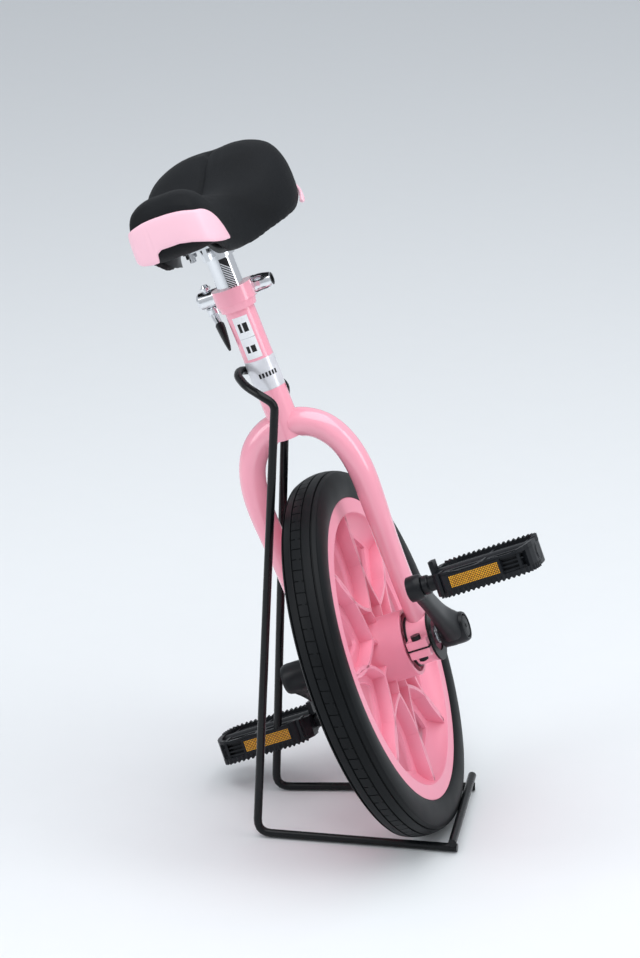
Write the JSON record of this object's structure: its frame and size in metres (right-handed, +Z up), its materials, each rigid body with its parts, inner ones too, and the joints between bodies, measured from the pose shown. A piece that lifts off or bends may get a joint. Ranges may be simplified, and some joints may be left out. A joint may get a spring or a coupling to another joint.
{
  "type": "unicycle",
  "caption": "Child's unicycle leaning as if on its stand: one-piece moulded wheel, unicrown fork, cranks and cage pedals, quick-release post and curved padded saddle.",
  "frame": {"origin": "the point of the floor that the tyre's tread touches while the unicycle leans", "axes": "+Z up from the floor; the unicycle's front looks towards -Y; +X is the side away from the lean, so the top of the frame leans 20 degrees towards -X"},
  "size_m": [0.4008, 0.3554, 0.6386],
  "materials": {
    "painted_frame": "gloss pink paint",
    "wheel_plastic": "semi-gloss moulded pink",
    "bumper_plastic": "semi-gloss pale pink",
    "tyre_rubber": "matt black rubber",
    "chromed_steel": "polished",
    "bright_steel": "plated",
    "black_painted_metal": "satin black",
    "black_plastic": "matt black",
    "pedal_plastic": "satin black",
    "saddle_cover": "matt fine-grained black vinyl",
    "amber_reflector": "clear amber prism grid",
    "white_sticker": "white film",
    "clear_band": "thin milky film"
  },
  "bodies": {
    "frame": {"seat_tube": "painted_frame", "seat_clamp_collar": "painted_frame", "qr_skewer": "chromed_steel", "qr_barrel": "chromed_steel", "qr_nut": "chromed_steel", "front_label": "white_sticker", "tube_band": "clear_band", "fork_leg_left": "painted_frame", "bearing_housing_left": "painted_frame", "bearing_cap_left": "painted_frame", "housing_strap_left": "black_plastic", "bearing_outer_left": "bright_steel", "bearing_balls_left": "bright_steel", "fork_leg_right": "painted_frame", "bearing_housing_right": "painted_frame", "bearing_cap_right": "painted_frame", "housing_strap_right": "black_plastic", "bearing_outer_right": "bright_steel", "bearing_balls_right": "bright_steel", "cap_bolt_left_front": "black_painted_metal", "cap_bolt_left_back": "black_painted_metal", "cap_bolt_right_front": "black_painted_metal", "cap_bolt_right_back": "black_painted_metal"},
    "wheel": {"tyre": "tyre_rubber", "wheel_moulding": "wheel_plastic", "hub_axle": "bright_steel", "axle_spacer_left": "black_plastic", "bearing_inner_left": "bright_steel", "crank_left": "black_painted_metal", "crank_bolt_left": "bright_steel", "dust_cap_left": "black_plastic", "pedal_spindle_left": "bright_steel", "axle_spacer_right": "black_plastic", "bearing_inner_right": "bright_steel", "crank_right": "black_painted_metal", "crank_bolt_right": "bright_steel", "dust_cap_right": "black_plastic", "pedal_spindle_right": "bright_steel"},
    "pedal_right": {"pedal_right": "pedal_plastic", "pedal_end_cap_right": "pedal_plastic", "reflector_right_front": "amber_reflector", "reflector_right_back": "amber_reflector"},
    "pedal_left": {"pedal_left": "pedal_plastic", "pedal_end_cap_left": "pedal_plastic", "reflector_left_front": "amber_reflector", "reflector_left_back": "amber_reflector"},
    "seat": {"seat_post": "chromed_steel", "seat_bracket": "chromed_steel", "saddle_base": "black_plastic", "saddle_cushion": "saddle_cover", "front_bumper": "bumper_plastic", "rear_bumper": "bumper_plastic", "seat_bolt_1": "bright_steel", "seat_bolt_2": "bright_steel", "seat_bolt_3": "bright_steel", "seat_bolt_4": "bright_steel"},
    "lever": {"qr_lever": "chromed_steel", "qr_lever_grip": "black_plastic", "qr_pin_nut": "chromed_steel"}
  },
  "joints": [
    {"name": "wheel_spin", "type": "hinge", "parent": "frame", "child": "wheel", "pos_m": [-0.04747, 0, 0.16937], "axis": [0.9388, 0, 0.3445], "continuous": true},
    {"name": "right_pedal_spin", "type": "hinge", "parent": "wheel", "child": "pedal_right", "pos_m": [-0.0721, -0.07275, 0.23648], "axis": [0.9388, 0, 0.3445], "continuous": true},
    {"name": "left_pedal_spin", "type": "hinge", "parent": "wheel", "child": "pedal_left", "pos_m": [-0.02284, 0.07275, 0.10225], "axis": [0.9388, 0, 0.3445], "continuous": true},
    {"name": "seat_height", "type": "slide", "parent": "frame", "child": "seat", "axis": [-0.3442, 0.0394, 0.9381], "range_m": [-0.025, 0.06]},
    {"name": "quick_release_lever", "type": "hinge", "parent": "frame", "child": "lever", "pos_m": [-0.20315, 0.03941, 0.50075], "axis": [0.3442, -0.0394, -0.9381], "range_deg": [0, 150]}
  ]
}
